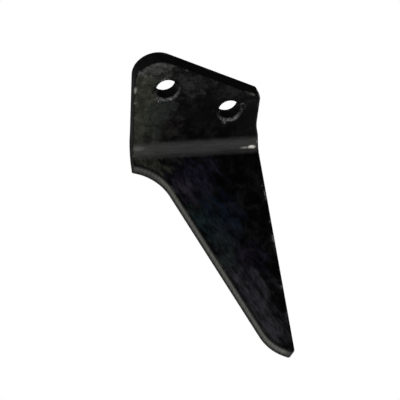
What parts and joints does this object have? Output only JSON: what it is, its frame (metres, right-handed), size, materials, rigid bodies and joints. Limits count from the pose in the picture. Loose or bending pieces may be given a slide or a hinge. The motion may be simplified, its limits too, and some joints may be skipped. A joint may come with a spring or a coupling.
{
  "type": "power harrow tine",
  "caption": "Folded steel soil-tillage tine: slanted bolt-on flange with chamfered holes, swept shoulder and a blade that tapers to a blunt tip.",
  "frame": {"origin": "midway between the two bolt holes, on the flange's seating face (the outer side of the fold)", "axes": "-Z down the blade to its tip, +X along the fold from the shoulder to the straight back edge, -Y towards the hollow side of the fold; the seating face looks 25 degrees off +Z towards +Y"},
  "size_m": [0.111, 0.0969, 0.2381],
  "materials": {
    "black_paint": "semi-gloss black dip paint over hot-rolled steel, slightly mottled, with small worn specks along the edges"
  },
  "bodies": {
    "root": {"tine": "black_paint"}
  },
  "joints": []
}
